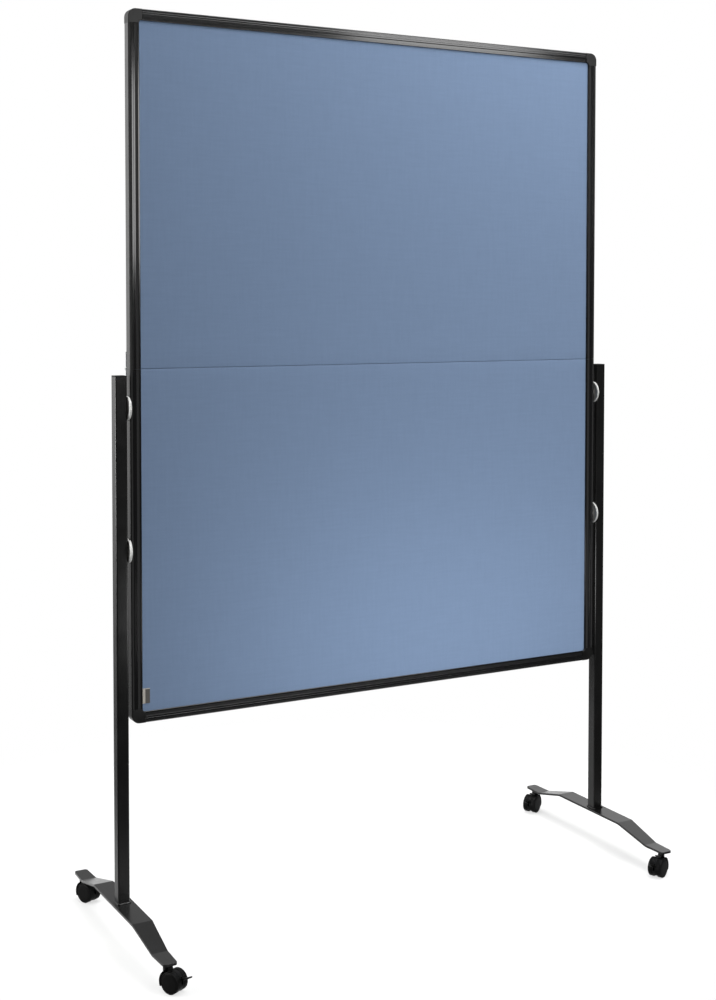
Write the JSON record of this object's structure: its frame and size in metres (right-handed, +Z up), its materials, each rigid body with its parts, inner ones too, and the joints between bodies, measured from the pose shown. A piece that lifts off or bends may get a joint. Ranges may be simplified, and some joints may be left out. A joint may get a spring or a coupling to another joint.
{
  "type": "mobile presentation pinboard",
  "caption": "Mobile presentation pinboard: fabric-faced board in a ribbed frame that folds at mid height, clamped between square posts on bent feet with braked twin-wheel castors.",
  "frame": {"origin": "on the floor, midway between the posts, in the board's middle plane", "axes": "+X to the right seen from the front, +Y to the back, +Z up"},
  "size_m": [1.2836, 0.6056, 1.965],
  "materials": {
    "frame_aluminium": "satin black anodised",
    "moulded_black": "fine matte",
    "blue_fabric": "woven",
    "soft_board": "raw",
    "batten_wood": "raw",
    "zinc_steel": "zinc plated",
    "satin_aluminium": "satin",
    "black_powder_coat": "satin powder coat",
    "wheel_plastic": "satin",
    "castor_plastic": "satin",
    "grey_tab": "matte"
  },
  "bodies": {
    "stand": {"bottom_profile": "frame_aluminium", "castor_stems": "zinc_steel", "catch_magnets": "zinc_steel", "edge_tab": "grey_tab", "frame_inserts": "zinc_steel", "hinge_pins": "zinc_steel", "left_foot": "black_powder_coat", "left_post": "black_powder_coat", "lower_back_fabric": "blue_fabric", "lower_core": "soft_board", "lower_corner_caps": "moulded_black", "lower_front_fabric": "blue_fabric", "lower_hinge_leaves": "zinc_steel", "lower_hinge_screws": "zinc_steel", "lower_left_profile": "frame_aluminium", "lower_right_profile": "frame_aluminium", "lower_seam_batten": "batten_wood", "post_bushes": "zinc_steel", "post_end_plugs": "moulded_black", "post_welds": "black_powder_coat", "right_foot": "black_powder_coat", "right_post": "black_powder_coat"},
    "upper_half": {"upper_left_profile": "frame_aluminium", "upper_right_profile": "frame_aluminium", "top_profile": "frame_aluminium", "upper_corner_caps": "moulded_black", "upper_core": "soft_board", "upper_front_fabric": "blue_fabric", "upper_back_fabric": "blue_fabric", "upper_seam_batten": "batten_wood", "strike_plates": "zinc_steel", "upper_hinge_leaves": "zinc_steel", "upper_hinge_screws": "zinc_steel"},
    "thumb_screw_left_upper": {"thumb_screw_left_upper": "satin_aluminium"},
    "thumb_screw_right_upper": {"thumb_screw_right_upper": "satin_aluminium"},
    "thumb_screw_left_lower": {"thumb_screw_left_lower": "satin_aluminium"},
    "thumb_screw_right_lower": {"thumb_screw_right_lower": "satin_aluminium"},
    "castor_front_left_fork": {"castor_front_left_hood": "castor_plastic", "castor_front_left_axle": "zinc_steel"},
    "castor_front_left_wheel_a": {"castor_front_left_wheel_a": "wheel_plastic"},
    "castor_front_left_wheel_b": {"castor_front_left_wheel_b": "wheel_plastic"},
    "castor_front_left_brake_lever": {"castor_front_left_brake_lever": "castor_plastic"},
    "castor_rear_left_fork": {"castor_rear_left_hood": "castor_plastic", "castor_rear_left_axle": "zinc_steel"},
    "castor_rear_left_wheel_a": {"castor_rear_left_wheel_a": "wheel_plastic"},
    "castor_rear_left_wheel_b": {"castor_rear_left_wheel_b": "wheel_plastic"},
    "castor_rear_left_brake_lever": {"castor_rear_left_brake_lever": "castor_plastic"},
    "castor_front_right_fork": {"castor_front_right_hood": "castor_plastic", "castor_front_right_axle": "zinc_steel"},
    "castor_front_right_wheel_a": {"castor_front_right_wheel_a": "wheel_plastic"},
    "castor_front_right_wheel_b": {"castor_front_right_wheel_b": "wheel_plastic"},
    "castor_front_right_brake_lever": {"castor_front_right_brake_lever": "castor_plastic"},
    "castor_rear_right_fork": {"castor_rear_right_hood": "castor_plastic", "castor_rear_right_axle": "zinc_steel"},
    "castor_rear_right_wheel_a": {"castor_rear_right_wheel_a": "wheel_plastic"},
    "castor_rear_right_wheel_b": {"castor_rear_right_wheel_b": "wheel_plastic"},
    "castor_rear_right_brake_lever": {"castor_rear_right_brake_lever": "castor_plastic"}
  },
  "joints": [
    {"name": "board_fold", "type": "hinge", "parent": "stand", "child": "upper_half", "pos_m": [0, 0.0173, 1.215], "axis": [-1, 0, 0], "range_deg": [0, 180]},
    {"name": "thumb_screw_left_upper_turn", "type": "hinge", "parent": "stand", "child": "thumb_screw_left_upper", "pos_m": [-0.6034, 0, 1.133], "axis": [-1, 0, 0], "continuous": true},
    {"name": "thumb_screw_right_upper_turn", "type": "hinge", "parent": "stand", "child": "thumb_screw_right_upper", "pos_m": [0.6034, 0, 1.133], "axis": [1, 0, 0], "continuous": true},
    {"name": "thumb_screw_left_lower_turn", "type": "hinge", "parent": "stand", "child": "thumb_screw_left_lower", "pos_m": [-0.6034, 0, 0.832], "axis": [-1, 0, 0], "continuous": true},
    {"name": "thumb_screw_right_lower_turn", "type": "hinge", "parent": "stand", "child": "thumb_screw_right_lower", "pos_m": [0.6034, 0, 0.832], "axis": [1, 0, 0], "continuous": true},
    {"name": "castor_front_left_swivel", "type": "hinge", "parent": "stand", "child": "castor_front_left_fork", "pos_m": [-0.6198, -0.264, 0.05], "axis": [0, 0, 1], "continuous": true},
    {"name": "castor_front_left_wheel_a_roll", "type": "hinge", "parent": "castor_front_left_fork", "child": "castor_front_left_wheel_a", "pos_m": [-0.61135, -0.27989, 0.022], "axis": [0.8829, 0.4695, 0], "continuous": true},
    {"name": "castor_front_left_wheel_b_roll", "type": "hinge", "parent": "castor_front_left_fork", "child": "castor_front_left_wheel_b", "pos_m": [-0.61135, -0.27989, 0.022], "axis": [0.8829, 0.4695, 0], "continuous": true},
    {"name": "castor_front_left_brake_lever_press", "type": "hinge", "parent": "castor_front_left_fork", "child": "castor_front_left_brake_lever", "pos_m": [-0.60572, -0.29049, 0.027], "axis": [0.8829, 0.4695, 0], "range_deg": [0, 20]},
    {"name": "castor_rear_left_swivel", "type": "hinge", "parent": "stand", "child": "castor_rear_left_fork", "pos_m": [-0.6198, 0.264, 0.05], "axis": [0, 0, 1], "continuous": true},
    {"name": "castor_rear_left_wheel_a_roll", "type": "hinge", "parent": "castor_rear_left_fork", "child": "castor_rear_left_wheel_a", "pos_m": [-0.61248, 0.24756, 0.022], "axis": [0.9135, 0.4067, 0], "continuous": true},
    {"name": "castor_rear_left_wheel_b_roll", "type": "hinge", "parent": "castor_rear_left_fork", "child": "castor_rear_left_wheel_b", "pos_m": [-0.61248, 0.24756, 0.022], "axis": [0.9135, 0.4067, 0], "continuous": true},
    {"name": "castor_rear_left_brake_lever_press", "type": "hinge", "parent": "castor_rear_left_fork", "child": "castor_rear_left_brake_lever", "pos_m": [-0.6076, 0.23659, 0.027], "axis": [0.9135, 0.4067, 0], "range_deg": [0, 20]},
    {"name": "castor_front_right_swivel", "type": "hinge", "parent": "stand", "child": "castor_front_right_fork", "pos_m": [0.6198, -0.264, 0.05], "axis": [0, 0, 1], "continuous": true},
    {"name": "castor_front_right_wheel_a_roll", "type": "hinge", "parent": "castor_front_right_fork", "child": "castor_front_right_wheel_a", "pos_m": [0.60343, -0.27149, 0.022], "axis": [0.4163, -0.9092, 0], "continuous": true},
    {"name": "castor_front_right_wheel_b_roll", "type": "hinge", "parent": "castor_front_right_fork", "child": "castor_front_right_wheel_b", "pos_m": [0.60343, -0.27149, 0.022], "axis": [0.4163, -0.9092, 0], "continuous": true},
    {"name": "castor_front_right_brake_lever_press", "type": "hinge", "parent": "castor_front_right_fork", "child": "castor_front_right_brake_lever", "pos_m": [0.59252, -0.27649, 0.027], "axis": [0.4163, -0.9092, 0], "range_deg": [0, 20]},
    {"name": "castor_rear_right_swivel", "type": "hinge", "parent": "stand", "child": "castor_rear_right_fork", "pos_m": [0.6198, 0.264, 0.05], "axis": [0, 0, 1], "continuous": true},
    {"name": "castor_rear_right_wheel_a_roll", "type": "hinge", "parent": "castor_rear_right_fork", "child": "castor_rear_right_wheel_a", "pos_m": [0.60403, 0.25533, 0.022], "axis": [0.4818, -0.8763, 0], "continuous": true},
    {"name": "castor_rear_right_wheel_b_roll", "type": "hinge", "parent": "castor_rear_right_fork", "child": "castor_rear_right_wheel_b", "pos_m": [0.60403, 0.25533, 0.022], "axis": [0.4818, -0.8763, 0], "continuous": true},
    {"name": "castor_rear_right_brake_lever_press", "type": "hinge", "parent": "castor_rear_right_fork", "child": "castor_rear_right_brake_lever", "pos_m": [0.59351, 0.24955, 0.027], "axis": [0.4818, -0.8763, 0], "range_deg": [0, 20]}
  ]
}
